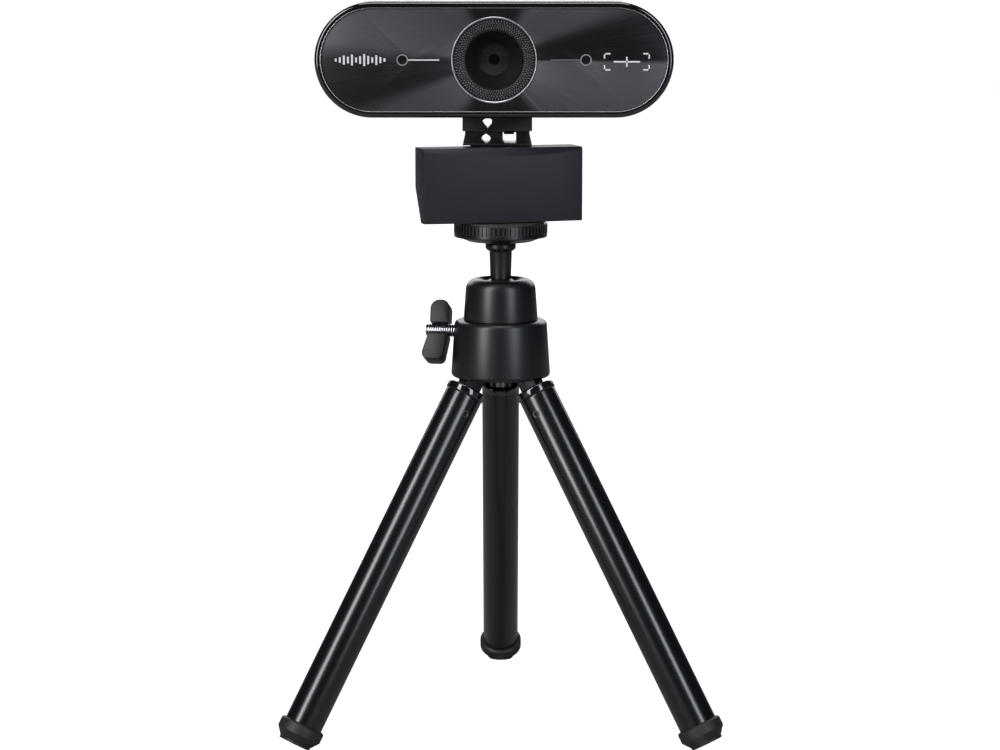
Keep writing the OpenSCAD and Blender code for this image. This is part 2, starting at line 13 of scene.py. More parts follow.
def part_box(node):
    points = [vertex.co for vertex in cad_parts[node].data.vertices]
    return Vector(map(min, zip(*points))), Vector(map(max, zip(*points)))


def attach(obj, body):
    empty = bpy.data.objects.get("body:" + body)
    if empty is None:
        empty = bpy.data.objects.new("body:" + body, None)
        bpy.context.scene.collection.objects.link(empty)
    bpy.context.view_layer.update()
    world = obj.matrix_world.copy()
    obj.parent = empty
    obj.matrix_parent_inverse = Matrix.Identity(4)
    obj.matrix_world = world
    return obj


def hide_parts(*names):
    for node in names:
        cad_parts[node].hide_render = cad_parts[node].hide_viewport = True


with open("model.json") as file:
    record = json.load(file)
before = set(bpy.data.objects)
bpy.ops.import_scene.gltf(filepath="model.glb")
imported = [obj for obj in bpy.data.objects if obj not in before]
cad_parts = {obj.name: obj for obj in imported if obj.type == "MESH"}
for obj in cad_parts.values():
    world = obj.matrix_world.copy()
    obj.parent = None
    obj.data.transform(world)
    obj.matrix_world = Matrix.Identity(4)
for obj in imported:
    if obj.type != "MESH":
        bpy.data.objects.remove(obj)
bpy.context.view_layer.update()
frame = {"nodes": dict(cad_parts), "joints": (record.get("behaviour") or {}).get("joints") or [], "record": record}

NODES = frame["nodes"]
JOINTS = {joint["name"]: joint for joint in frame["joints"]}
SIDES = ("back", "left", "right")
MM = 0.001
ROUND = 96
MERGE_MM = 1e-5
SMOOTH_ANGLE = math.radians(38)
BEVEL_ANGLE = math.radians(35)


# ---------- local frames ----------

def box_mm(node):
    """Lowest and highest corner of a CAD node, in millimetres."""
    low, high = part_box(node)
    return low / MM, high / MM


def pivot_mm(joint):
    return Vector(JOINTS[joint]["pos_m"]) / MM


def frame_at(origin, *turns):
    """Matrix from a local frame in millimetres to the row frame in metres."""
    matrix = Matrix.Scale(MM, 4) @ Matrix.Translation(origin)
    for turn in turns:
        matrix = matrix @ turn
    return matrix


def turn_about(axis, degrees):
    return Matrix.Rotation(math.radians(degrees), 4, axis)


BALL = pivot_mm("ball_tilt")
AXIS = frame_at((0, BALL.y, 0))

FACE_LOW, FACE_HIGH = box_mm("front_shell")
CAM_MIDDLE = (FACE_LOW + FACE_HIGH) / 2
CAM = frame_at((CAM_MIDDLE.x, FACE_LOW.y, CAM_MIDDLE.z))
# A turned piece of the webcam is drawn about Z, which then runs back along the webcam's depth.
CAM_LATHE = CAM @ turn_about("X", -90)
CAM_R = (FACE_HIGH.z - FACE_LOW.z) / 2
CAM_STRAIGHT = (FACE_HIGH.x - FACE_LOW.x) / 2 - CAM_R
CAM_DEPTH = box_mm("rear_shell")[1].y - FACE_LOW.y
SPLIT = FACE_HIGH.y - FACE_LOW.y
FACE_DEPTH = box_mm("face_panel")[0].y - FACE_LOW.y
LIGHTS_LOW, LIGHTS_HIGH = box_mm("status_lights")
MIC_R = (LIGHTS_HIGH.z - LIGHTS_LOW.z) / 2
MIC_X = (LIGHTS_HIGH.x - LIGHTS_LOW.x) / 2 - MIC_R

CLAMP_AXIS = Vector(JOINTS["clamp_turn"]["axis"])
CLAMP_YAW = math.degrees(math.atan2(CLAMP_AXIS.y, CLAMP_AXIS.x))
CLAMP = frame_at(pivot_mm("clamp_turn"), turn_about("Z", CLAMP_YAW), turn_about("Y", 90))
# How far the wing is turned about its screw at rest, in degrees.
WING_TURN = 25

LEG_SPREAD = JOINTS["leg_back_fold"]["range_deg"][1]


def leg_frame(side):
    """The pivot is the origin, the leg runs down along -Z, and +Y is outwards."""
    joint = JOINTS[f"leg_{side}_fold"]
    yaw = math.degrees(math.atan2(-joint["axis"][1], -joint["axis"][0]))
    return frame_at(pivot_mm(f"leg_{side}_fold"), turn_about("Z", yaw), turn_about("X", LEG_SPREAD))


# ---------- outlines ----------

def rounded(corners, closed=True, steps=6):
    """Rounds the corners of an outline. Each corner is (x, y) or (x, y, radius)."""
    points = []
    count = len(corners)
    for i, corner in enumerate(corners):
        here = Vector(corner[:2])
        radius = corner[2] if len(corner) > 2 else 0
        if not radius or (not closed and i in (0, count - 1)):
            points.append(here)
            continue
        before = (Vector(corners[i - 1][:2]) - here).normalized()
        after = (Vector(corners[(i + 1) % count][:2]) - here).normalized()
        half = before.angle(after) / 2
        reach = radius / math.tan(half)
        start, end = here + before * reach, here + after * reach
        centre = here + (before + after).normalized() * (radius / math.sin(half))
        a0 = math.atan2(*(start - centre).yx)
        sweep = math.remainder(math.atan2(*(end - centre).yx) - a0, math.tau)
        for k in range(steps + 1):
            angle = a0 + sweep * k / steps
            points.append(centre + radius * Vector((math.cos(angle), math.sin(angle))))
    return points


def arc(centre, radius, start, end, steps=16):
    """Points along an arc; the angles are in degrees."""
    angles = [math.radians(start + (end - start) * k / steps) for k in range(steps + 1)]
    return [Vector((centre[0] + radius * math.cos(a), centre[1] + radius * math.sin(a))) for a in angles]


# ---------- mesh builders ----------

def in_scene(name, data):
    """A new object in the scene, at the origin."""
    made = bpy.data.objects.new(name, data)
    bpy.context.scene.collection.objects.link(made)
    return made


def applied(piece):
    """An object's mesh with its modifiers applied. The object itself is removed."""
    bpy.context.view_layer.update()
    evaluated = piece.evaluated_get(bpy.context.evaluated_depsgraph_get())
    made = bpy.data.meshes.new_from_object(evaluated)
    bpy.data.objects.remove(piece)
    return made


def smoothed(mesh):
    """The same mesh, shaded smooth up to its sharp edges."""
    for polygon in mesh.polygons:
        polygon.use_smooth = True
    mesh.set_sharp_from_angle(angle=SMOOTH_ANGLE)
    return mesh


def to_mesh(name, bm, place):
    """Turns a bmesh in millimetres into a placed mesh with outward faces and smooth shading."""
    bmesh.ops.remove_doubles(bm, verts=bm.verts, dist=MERGE_MM)
    bmesh.ops.recalc_face_normals(bm, faces=bm.faces)
    bm.transform(place)
    mesh = bpy.data.meshes.new(name)
    bm.to_mesh(mesh)
    bm.free()
    return smoothed(mesh)


def loft(bm, loops, ring_closed=False, capped=True):
    """Joins equal loops of points with quads. The ends are capped, or the last loop meets the first."""
    rows = [[bm.verts.new(point) for point in loop] for loop in loops]
    pairs = list(zip(rows, rows[1:]))
    if ring_closed:
        pairs.append((rows[-1], rows[0]))
    for low, high in pairs:
        for i in range(len(low)):
            j = (i + 1) % len(low)
            bm.faces.new((low[i], low[j], high[j], high[i]))
    if capped and not ring_closed:
        bm.faces.new(rows[0][::-1])
        bm.faces.new(rows[-1])


def lathe(name, place, outline, hollow=False, segments=ROUND):
    """Turns an outline of (radius, height) about Z. A hollow one is a closed loop away from the axis."""
    bm = bmesh.new()
    tiny = 1e-7
    loops = []
    for radius, height in (tuple(point[:2]) for point in outline):
        spread = max(radius, tiny)
        turns = [math.tau * k / segments for k in range(segments)]
        loops.append([(spread * math.cos(turn), spread * math.sin(turn), height) for turn in turns])
    loft(bm, loops, ring_closed=hollow, capped=False)
    return to_mesh(name, bm, place)


def stadium(radius, depth):
    """One loop round the webcam's outline at a depth, all at the same distance from its middle line."""
    loop, steps = [], 40
    for side, start in ((1, -90), (-1, 90)):
        for k in range(steps + 1):
            angle = math.radians(start + 180 * k / steps)
            loop.append((side * CAM_STRAIGHT + radius * math.cos(angle), depth, radius * math.sin(angle)))
    return loop


def pill(name, outline, hollow=False):
    """Sweeps an outline of (radius, depth) round the webcam's stadium."""
    bm = bmesh.new()
    loft(bm, [stadium(*point) for point in outline], ring_closed=hollow)
    return to_mesh(name, bm, CAM)


def plate(bm, outline, low, high):
    """An outline in X and Z made solid between two depths along Y."""
    loft(bm, [[(x, depth, z) for x, z in outline] for depth in (low, high)])


def thread(name, place, radius, pitch, depth, start, end, point):
    """A rod along Z with a true helical thread, which fades out over the point at both ends."""
    bm = bmesh.new()
    segments, rows_per_turn = 36, 8
    rows = int((end - start) / pitch * rows_per_turn)
    loops = []
    for row in range(rows + 1):
        height = start + (end - start) * row / rows
        fade = min(1, (height - start) / point, (end - height) / point)
        loop = []
        for k in range(segments):
            turn = k / segments
            phase = (height / pitch - turn) % 1
            groove = depth * (1 - abs(2 * phase - 1)) ** 0.8
            spread = radius - depth * (1 - fade) - groove * fade
            angle = math.tau * turn
            loop.append((spread * math.cos(angle), spread * math.sin(angle), height))
        loops.append(loop)
    loft(bm, loops)
    return to_mesh(name, bm, place)


def softened(name, node, width, segments=3):
    """A copy of a CAD node with its doubles merged, its flats joined and its edges rounded."""
    merge_m, flat = 2e-6, math.radians(1)
    bm = bmesh.new()
    bm.from_mesh(NODES[node].data)
    bmesh.ops.remove_doubles(bm, verts=bm.verts, dist=merge_m)
    bmesh.ops.dissolve_limit(bm, angle_limit=flat, verts=bm.verts, edges=bm.edges)
    mesh = bpy.data.meshes.new(name)
    bm.to_mesh(mesh)
    bm.free()
    return swollen(mesh, width, segments)


def swollen(mesh, width, segments=5):
    """The same mesh with its sharp edges rounded off."""
    name = mesh.name
    piece = in_scene(name, mesh)
    bevel = piece.modifiers.new("soft edges", "BEVEL")
    bevel.width = width * MM
    bevel.segments = segments
    bevel.limit_method = "ANGLE"
    bevel.angle_limit = BEVEL_ANGLE
    bevel.use_clamp_overlap = True
    bevel.harden_normals = False
    solid = smoothed(applied(piece))
    solid.name = name
    return solid


def finish_piece(name, mesh, body, slot, material, *replaced):
    """Puts a finished mesh in the scene: its body, its finish and the CAD nodes it stands for."""
    piece = in_scene(name, mesh)
    mesh.materials.clear()
    mesh.materials.append(material)
    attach(piece, body)
    if replaced:
        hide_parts(*replaced)


# ---------- shader node groups ----------

def new_group(name, inputs, outputs):
    """A shader group with float or colour sockets; inputs are {name: default}."""
    group = bpy.data.node_groups.new(name, "ShaderNodeTree")
    for label, value in inputs.items():
        kind = "NodeSocketColor" if isinstance(value, tuple) else "NodeSocketFloat"
        made = group.interface.new_socket(name=label, in_out="INPUT", socket_type=kind)
        made.default_value = value
    for label, kind in outputs.items():
        group.interface.new_socket(name=label, in_out="OUTPUT", socket_type=kind)
    source = group.nodes.new("NodeGroupInput")
    sink = group.nodes.new("NodeGroupOutput")
    return group, source.outputs, sink.inputs


def add(tree, kind, inputs=None, **settings):
    """Adds a node, sets its properties, and fills or links its inputs."""
    made = tree.nodes.new(kind)
    for key, value in settings.items():
        setattr(made, key, value)
    for key, value in (inputs or {}).items():
        if isinstance(value, bpy.types.NodeSocket):
            tree.links.new(value, made.inputs[key])
        else:
            made.inputs[key].default_value = value
    return made


def maths(tree, operation, a, b=0.0, c=0.0, clamp=False):
    made = add(tree, "ShaderNodeMath", {0: a, 1: b, 2: c}, operation=operation, use_clamp=clamp)
    return made.outputs[0]


def mixed_colour(tree, share, first, second):
    """The first colour at a share of 0, and the second at 1."""
    made = add(tree, "ShaderNodeMix", {0: share, 6: first, 7: second}, data_type="RGBA")
    return made.outputs[2]


def object_point(tree):
    return add(tree, "ShaderNodeTexCoord").outputs["Object"]


def grain_group():
    """Fine moulded or cast grain: a roughness that varies, and a height for bump."""
    group, given, out = new_group(
        "moulded grain",
        {"Grain size": 0.3, "Roughness": 0.45, "Spread": 0.08},
        {"Roughness": "NodeSocketFloat", "Height": "NodeSocketFloat"})
    density = maths(group, "DIVIDE", 1000.0, given["Grain size"])
    point = object_point(group)
    fine = add(group, "ShaderNodeTexNoise", {"Vector": point, "Scale": density, "Detail": 3.0})
    cells = add(group, "ShaderNodeTexVoronoi", {"Vector": point, "Scale": density})
    broad = add(group, "ShaderNodeTexNoise", {"Vector": point, "Scale": 60.0, "Detail": 2.0})
    mixed = maths(group, "MULTIPLY_ADD", cells.outputs["Distance"], 0.5, fine.outputs["Fac"])
    offset = maths(group, "SUBTRACT", broad.outputs["Fac"], 0.5)
    varied = maths(group, "MULTIPLY_ADD", offset, given["Spread"], given["Roughness"])
    group.links.new(varied, out["Roughness"])
    group.links.new(mixed, out["Height"])
    return group


def wear_group():
    """Lightens rounded edges a little, and lays a trace of dust on what faces up."""
    group, given, out = new_group(
        "edge wear and dust",
        {"Colour": (0.02, 0.02, 0.02, 1.0), "Edge colour": (0.1, 0.1, 0.1, 1.0),
         "Wear": 0.3, "Dust": 0.1},
        {"Colour": "NodeSocketColor"})
    geometry = add(group, "ShaderNodeNewGeometry")
    edge = add(group, "ShaderNodeMapRange", {"Value": geometry.outputs["Pointiness"], "From Min": 0.52,
                                             "From Max": 0.6}).outputs["Result"]
    point = object_point(group)
    patches = add(group, "ShaderNodeTexNoise", {"Vector": point, "Scale": 220.0, "Detail": 4.0})
    worn = maths(group, "MULTIPLY", edge, patches.outputs["Fac"])
    worn = maths(group, "MULTIPLY", worn, given["Wear"], clamp=True)
    faces = add(group, "ShaderNodeSeparateXYZ", {"Vector": geometry.outputs["Normal"]})
    up = maths(group, "MULTIPLY", faces.outputs["Z"], faces.outputs["Z"])
    up = maths(group, "MULTIPLY", up, maths(group, "GREATER_THAN", faces.outputs["Z"], 0.0))
    specks = add(group, "ShaderNodeTexNoise", {"Vector": point, "Scale": 900.0, "Detail": 5.0})
    specks = add(group, "ShaderNodeMapRange", {"Value": specks.outputs["Fac"], "From Min": 0.55,
                                               "From Max": 0.75}).outputs["Result"]
    dusty = maths(group, "MULTIPLY", maths(group, "MULTIPLY", up, specks), given["Dust"], clamp=True)
    dust_colour = (0.35, 0.34, 0.32, 1.0)
    edged = mixed_colour(group, worn, given["Colour"], given["Edge colour"])
    group.links.new(mixed_colour(group, dusty, edged, dust_colour), out["Colour"])
    return group


def scratch_group():
    """Fine lines along one axis, for drawn, turned or brushed metal."""
    group, given, out = new_group(
        "fine lines",
        {"Along": 4.0, "Across": 900.0, "Roughness": 0.25, "Spread": 0.12},
        {"Roughness": "NodeSocketFloat", "Height": "NodeSocketFloat"})
    parts = add(group, "ShaderNodeSeparateXYZ", {"Vector": object_point(group)})
    drawn = add(group, "ShaderNodeCombineXYZ", {
        "X": maths(group, "MULTIPLY", parts.outputs["X"], given["Along"]),
        "Y": maths(group, "MULTIPLY", parts.outputs["Y"], given["Along"]),
        "Z": maths(group, "MULTIPLY", parts.outputs["Z"], given["Across"])})
    lines = add(group, "ShaderNodeTexNoise", {
        "Vector": drawn.outputs["Vector"], "Scale": 1.0, "Detail": 4.0})
    offset = maths(group, "SUBTRACT", lines.outputs["Fac"], 0.5)
    varied = maths(group, "MULTIPLY_ADD", offset, given["Spread"], given["Roughness"])
    group.links.new(varied, out["Roughness"])
    group.links.new(lines.outputs["Fac"], out["Height"])
    return group


GRAIN = grain_group()
WEAR = wear_group()
SCRATCH = scratch_group()


def colour(value):
    """A grey, or a red, green and blue, as a colour with alpha."""
    if isinstance(value, (int, float)):
        value = (value, value, value)
    return (*value, 1.0)


def new_material(name):
    material = bpy.data.materials.new(name)
    material.use_nodes = True
    return material, material.node_tree, material.node_tree.nodes["Principled BSDF"]


def place_group(tree, group, **inputs):
    made = tree.nodes.new("ShaderNodeGroup")
    made.node_tree = group
    for key, value in inputs.items():
        made.inputs[key.replace("_", " ")].default_value = value
    return made


def bump(tree, shader, height, strength, distance):
    """Feeds a height to the shader's normal; the distance is in millimetres."""
    made = add(tree, "ShaderNodeBump", {"Height": height, "Strength": strength, "Distance": distance * MM})
    tree.links.new(made.outputs["Normal"], shader.inputs["Normal"])


def plastic(name, base, edge=0.12, roughness=0.45, spread=0.1, grain=0.3, relief=0.15, wear=0.3,
            dust=0.03, coat=0.0, coat_roughness=0.05, specular=0.5):
    """A moulded or painted finish: grain, a little edge wear and dust, and perhaps a gloss coat."""
    material, tree, shader = new_material(name)
    worn = place_group(tree, WEAR, Colour=colour(base), Edge_colour=colour(edge), Wear=wear, Dust=dust)
    tree.links.new(worn.outputs["Colour"], shader.inputs["Base Color"])
    skin = place_group(tree, GRAIN, Grain_size=grain, Roughness=roughness, Spread=spread)
    tree.links.new(skin.outputs["Roughness"], shader.inputs["Roughness"])
    bump(tree, shader, skin.outputs["Height"], relief, 0.02)
    shader.inputs["Specular IOR Level"].default_value = specular
    shader.inputs["Coat Weight"].default_value = coat
    shader.inputs["Coat Roughness"].default_value = coat_roughness
    return material


def metal(name, base, roughness, spread=0.12, relief=0.1):
    """A drawn, turned or plated metal with fine lines round it."""
    material, tree, shader = new_material(name)
    worn = place_group(tree, WEAR, Colour=colour(base), Edge_colour=colour(0.8), Wear=0.0, Dust=0.03)
    tree.links.new(worn.outputs["Colour"], shader.inputs["Base Color"])
    lines = place_group(tree, SCRATCH, Along=4.0, Across=900.0, Roughness=roughness, Spread=spread)
    tree.links.new(lines.outputs["Roughness"], shader.inputs["Roughness"])
    bump(tree, shader, lines.outputs["Height"], relief, 0.01)
    shader.inputs["Metallic"].default_value = 1.0
    return material


def smeared(tree, shader, spread, clean):
    """Roughness with a faint smear over it: the clean glass has the lowest value."""
    smear = add(tree, "ShaderNodeTexNoise", {
        "Vector": object_point(tree), "Scale": 300.0, "Detail": 3.0})
    varied = maths(tree, "MULTIPLY_ADD", smear.outputs["Fac"], spread, clean)
    tree.links.new(varied, shader.inputs["Roughness"])


def glass(name, tint):
    """Coated optical glass, with the faintest smear over it."""
    material, tree, shader = new_material(name)
    smeared(tree, shader, 0.03, 0.02)
    shader.inputs["Base Color"].default_value = colour(tint)
    shader.inputs["Transmission Weight"].default_value = 1.0
    shader.inputs["IOR"].default_value = 1.52
    return material


def length_of(tree, vector):
    return add(tree, "ShaderNodeVectorMath", {0: vector}, operation="LENGTH").outputs["Value"]


def fill_ramp(ramp, stops):
    """Sets a ramp's stops, each a position and a colour. A new ramp has two."""
    band = ramp.color_ramp
    while len(band.elements) < len(stops):
        band.elements.new(0.5)
    for element, (position, shade) in zip(band.elements, stops):
        element.position = position
        element.color = colour(shade)


def sunburst_painted_reflection():
    """Dark face with brushed lines that fan out from the lens. Its lighter and darker sectors are painted
    reflection in the base colour: the light that the brushed face throws back, not a print.
    """
    material, tree, shader = new_material("sunburst face")
    middle = Vector((CAM_MIDDLE.x, FACE_LOW.y, CAM_MIDDLE.z)) * MM
    local = add(tree, "ShaderNodeVectorMath", {0: object_point(tree), 1: middle}, operation="SUBTRACT")
    parts = add(tree, "ShaderNodeSeparateXYZ", {"Vector": local.outputs["Vector"]})
    angle = maths(tree, "ARCTAN2", parts.outputs["Z"], parts.outputs["X"])
    turn = maths(tree, "FRACT", maths(tree, "DIVIDE", angle, math.tau))
    radius = length_of(tree, local.outputs["Vector"])
    # The fan's painted reflection tones by angle in degrees, from the right and up. The sharp peak near 313
    # degrees is a painted bright streak of reflection.
    tones = ((0, 0.08), (14, 0.1), (26, 0.75), (52, 0.8), (66, 0.12), (112, 0.1), (126, 0.7),
             (172, 0.95), (181, 0.2), (196, 0.15), (206, 0.7), (232, 0.75), (246, 0.1), (304, 0.12),
             (311, 0.5), (313, 1.0), (315, 0.7), (350, 1.0), (358.6, 0.95), (359.6, 0.08))
    ramp = add(tree, "ShaderNodeValToRGB", {"Fac": turn})
    ramp.color_ramp.interpolation = "EASE"
    fill_ramp(ramp, [(degrees / 360, tone) for degrees, tone in tones])
    ray = add(tree, "ShaderNodeCombineXYZ", {
        "X": maths(tree, "MULTIPLY", turn, 420.0), "Y": maths(tree, "MULTIPLY", radius, 25.0)})
    hairs = add(tree, "ShaderNodeTexNoise", {
        "Vector": ray.outputs["Vector"], "Scale": 1.0, "Detail": 5.0, "Roughness": 0.7})
    hair = maths(tree, "SUBTRACT", hairs.outputs["Fac"], 0.5)
    tone = maths(tree, "MULTIPLY_ADD", hair, 0.35, ramp.outputs["Color"], clamp=True)
    # The darkest and lightest colours of the painted reflection sectors, with the real brushed hairlines running
    # through them.
    reflection_darkest, reflection_lightest = colour((0.002, 0.002, 0.0025)), colour((0.092, 0.089, 0.099))
    painted_reflection_colour = mixed_colour(tree, tone, reflection_darkest, reflection_lightest)
    tree.links.new(painted_reflection_colour, shader.inputs["Base Color"])
    rough = maths(tree, "MULTIPLY_ADD", hair, 0.3, 0.42)
    tree.links.new(rough, shader.inputs["Roughness"])
    bump(tree, shader, hairs.outputs["Fac"], 0.12, 0.02)
    shader.inputs["Metallic"].default_value = 0.5
    shader.inputs["Specular IOR Level"].default_value = 0.15
    shader.inputs["Coat Weight"].default_value = 0.06
    shader.inputs["Coat Roughness"].default_value = 0.1
    return material


def lens_front():
    """Dark coated lens: a black pupil, a grey field round it, and a faint lighter edge."""
    material, tree, shader = new_material("coated lens")
    middle = Vector((CAM_MIDDLE.x, 0, CAM_MIDDLE.z)) * MM
    flat = add(tree, "ShaderNodeVectorMath", {0: object_point(tree), 1: (1.0, 0.0, 1.0)},
               operation="MULTIPLY")
    local = add(tree, "ShaderNodeVectorMath", {0: flat.outputs["Vector"], 1: middle},
                operation="SUBTRACT")
    radius = length_of(tree, local.outputs["Vector"])
    lens_r = 5.0 * MM
    zones = add(tree, "ShaderNodeValToRGB", {"Fac": maths(tree, "DIVIDE", radius, lens_r)})
    # The tones from the lens's middle to its edge, each a little cool.
    tones = ((0.0, 0.0015), (0.3, 0.002), (0.36, 0.016), (0.55, 0.011), (0.8, 0.013), (0.93, 0.004))
    fill_ramp(zones, [(share, (tone, tone * 1.03, tone * 1.12)) for share, tone in tones])
    tree.links.new(zones.outputs["Color"], shader.inputs["Base Color"])
    smeared(tree, shader, 0.05, 0.06)
    return material


def circuit():
    """Green solder mask with copper tracks and pads under it."""
    material, tree, shader = new_material("circuit board")
    point = object_point(tree)
    tracks = add(tree, "ShaderNodeTexBrick", {
        "Vector": point, "Scale": 260.0, "Color1": colour((0.01, 0.1, 0.035)),
        "Color2": colour((0.012, 0.14, 0.05)), "Mortar": colour((0.05, 0.25, 0.08)), "Mortar Size": 0.03})
    tree.links.new(tracks.outputs["Color"], shader.inputs["Base Color"])
    skin = place_group(tree, GRAIN, Grain_size=0.5, Roughness=0.3, Spread=0.1)
    tree.links.new(skin.outputs["Roughness"], shader.inputs["Roughness"])
    return material


FINISH = {
    "satin_black": plastic("satin black moulding", (0.005, 0.0047, 0.007), roughness=0.34, grain=0.35,
                           relief=0.08),
    "leg_paint": plastic("gloss black lacquer", (0.003, 0.0028, 0.0042), roughness=0.24, spread=0.05,
                         grain=0.9, relief=0.02, dust=0.02, coat=0.35, coat_roughness=0.16),
    "ring_paint": plastic("gloss black ring", (0.003, 0.003, 0.004), roughness=0.16, grain=0.6, relief=0.03,
                          dust=0.01, coat=1.0, coat_roughness=0.06),
    "dark_steel": metal("blackened steel", 0.12, roughness=0.35),
    "zinc_steel": metal("zinc plated steel", (0.5, 0.5, 0.52), roughness=0.3),
    "bright_steel": metal("bright screw", (0.66, 0.66, 0.69), roughness=0.16, spread=0.06),
    "bright_ring": metal("bright ring", (0.6, 0.6, 0.63), roughness=0.3, spread=0.03, relief=0.0),
    "soft_rubber": plastic("soft rubber", (0.009, 0.009, 0.01), roughness=0.55, grain=0.25, relief=0.3,
                           dust=0.1),
    "wing_rubber": plastic("wing rubber", (0.004, 0.0038, 0.005), roughness=0.36, grain=0.5, relief=0.6,
                           dust=0.02, specular=0.26),
    "stem_paint": plastic("black stem", (0.004, 0.004, 0.0055), roughness=0.36, grain=0.4, relief=0.05,
                          wear=0.4),
    "wheel_plastic": plastic("wheel moulding", (0.004, 0.0038, 0.0055), roughness=0.3, wear=0.2, grain=0.3,
                             relief=0.1),
    "nylon": plastic("natural nylon", (0.7, 0.69, 0.64), edge=0.8, roughness=0.4, relief=0.1),
    "brass": metal("machined brass", (0.62, 0.43, 0.16), roughness=0.3),
    "clip_plastic": plastic("clip moulding", (0.0108, 0.0102, 0.0155), roughness=0.5, grain=0.22, relief=0.3,
                            specular=0.3),
    "neck_plastic": plastic("neck moulding", (0.0028, 0.0026, 0.004), roughness=0.35, grain=0.3, relief=0.1,
                            dust=0.01, specular=0.3),
    "shell_gloss": plastic("gloss rim", 0.003, roughness=0.12, spread=0.04, grain=1.2, relief=0.02, coat=1.0,
                           coat_roughness=0.02),
    "shell_satin": plastic("rear moulding", 0.012, roughness=0.42, grain=0.25, relief=0.25),
    "face_metal": sunburst_painted_reflection(),
    "grip_black": plastic("grip black", 0.004, roughness=0.4, grain=0.2, relief=0.05, dust=0.0, specular=0.2),
    "grip_studs": metal("cut studs", 0.8, roughness=0.38, relief=0.05),
    "lens_black": plastic("anti-glare black", 0.0015, roughness=0.6, grain=0.2, relief=0.1, dust=0.0,
                          specular=0.12),
    "lens_front": lens_front(),
    "lens_glass": glass("coated glass", (0.55, 0.6, 0.7)),
    "chip": plastic("sensor die", (0.02, 0.035, 0.06), roughness=0.15, grain=0.1, relief=0.02, dust=0.0),
    "board_green": circuit(),
    "nickel": metal("nickel can", (0.5, 0.5, 0.47), roughness=0.3),
    "edge_line": metal("edge line", 0.42, roughness=0.32, spread=0.1, relief=0.05),
    "ring_guide": plastic("light ring", (0.2, 0.2, 0.21), edge=0.4, roughness=0.3, grain=0.4,
                          relief=0.02, dust=0.0),
    "dark_window": plastic("smoked window", 0.009, roughness=0.12, grain=0.6, relief=0.02, dust=0.0),
    "light_guide": plastic("light guide", (0.62, 0.62, 0.64), edge=0.8, roughness=0.2, grain=0.4, relief=0.02,
                           dust=0.0),
}


# ---------- geometry node pieces ----------

def polar_studs(name, place, body, slot, finish, count, rows, inner, pitch, size, rise, height, box=False):
    """Repeats a stud in staggered rings about an axis: pyramids on a face, or ribs on a rim."""
    tree = bpy.data.node_groups.new(name, "GeometryNodeTree")
    tree.interface.new_socket(name="Geometry", in_out="OUTPUT", socket_type="NodeSocketGeometry")
    numbers = {"Count": count, "Rows": rows}
    lengths = {"Inner radius": inner, "Row pitch": pitch, "Height": height, "Row rise": rise}
    for label, value in numbers.items():
        tree.interface.new_socket(name=label, in_out="INPUT", socket_type="NodeSocketInt")
    for label, value in lengths.items():
        tree.interface.new_socket(name=label, in_out="INPUT", socket_type="NodeSocketFloat")
    tree.interface.new_socket(name="Stud size", in_out="INPUT", socket_type="NodeSocketVector")
    given = tree.nodes.new("NodeGroupInput").outputs
    sink = tree.nodes.new("NodeGroupOutput").inputs

    total = maths(tree, "MULTIPLY", given["Count"], given["Rows"])
    line = add(tree, "GeometryNodePoints", {"Count": total})
    index = add(tree, "GeometryNodeInputIndex").outputs["Index"]
    row = maths(tree, "FLOOR", maths(tree, "DIVIDE", index, given["Count"]))
    column = maths(tree, "MODULO", index, given["Count"])
    stagger = maths(tree, "MULTIPLY", maths(tree, "MODULO", row, 2.0), 0.5)
    share = maths(tree, "DIVIDE", maths(tree, "ADD", column, stagger), given["Count"])
    angle = maths(tree, "MULTIPLY", share, math.tau)
    radius = maths(tree, "MULTIPLY_ADD", row, given["Row pitch"], given["Inner radius"])
    level = maths(tree, "MULTIPLY_ADD", row, given["Row rise"], given["Height"])
    spot = add(tree, "ShaderNodeCombineXYZ", {
        "X": maths(tree, "MULTIPLY", radius, maths(tree, "COSINE", angle)),
        "Y": maths(tree, "MULTIPLY", radius, maths(tree, "SINE", angle)), "Z": level})
    moved = add(tree, "GeometryNodeSetPosition", {
        "Geometry": line.outputs["Points"], "Position": spot.outputs["Vector"]})
    if box:
        shape = add(tree, "GeometryNodeMeshCube", {"Size": (1.0, 1.0, 1.0)}).outputs["Mesh"]
    else:
        shape = add(tree, "GeometryNodeMeshCone", {
            "Vertices": 4, "Radius Top": 0.0, "Radius Bottom": 0.7071, "Depth": 1.0}).outputs["Mesh"]
    turn = add(tree, "ShaderNodeCombineXYZ", {"Z": angle})
    studs = add(tree, "GeometryNodeInstanceOnPoints", {
        "Points": moved.outputs["Geometry"], "Instance": shape, "Rotation": turn.outputs["Vector"],
        "Scale": given["Stud size"]})
    real = add(tree, "GeometryNodeRealizeInstances", {"Geometry": studs.outputs["Instances"]})
    painted = add(tree, "GeometryNodeSetMaterial", {
        "Geometry": real.outputs["Geometry"], "Material": FINISH[finish]})
    tree.links.new(painted.outputs["Geometry"], sink["Geometry"])

    holder = in_scene(name, bpy.data.meshes.new(name))
    modifier = holder.modifiers.new("studs", "NODES")
    modifier.node_group = tree
    values = {**numbers, **lengths, "Stud size": size}
    for item in tree.interface.items_tree:
        if item.in_out == "INPUT":
            modifier[item.identifier] = values[item.name]
    made = applied(holder)
    made.transform(place)
    made.name = name
    finish_piece(name, made, body, slot, FINISH[finish])


# ---------- tripod ----------

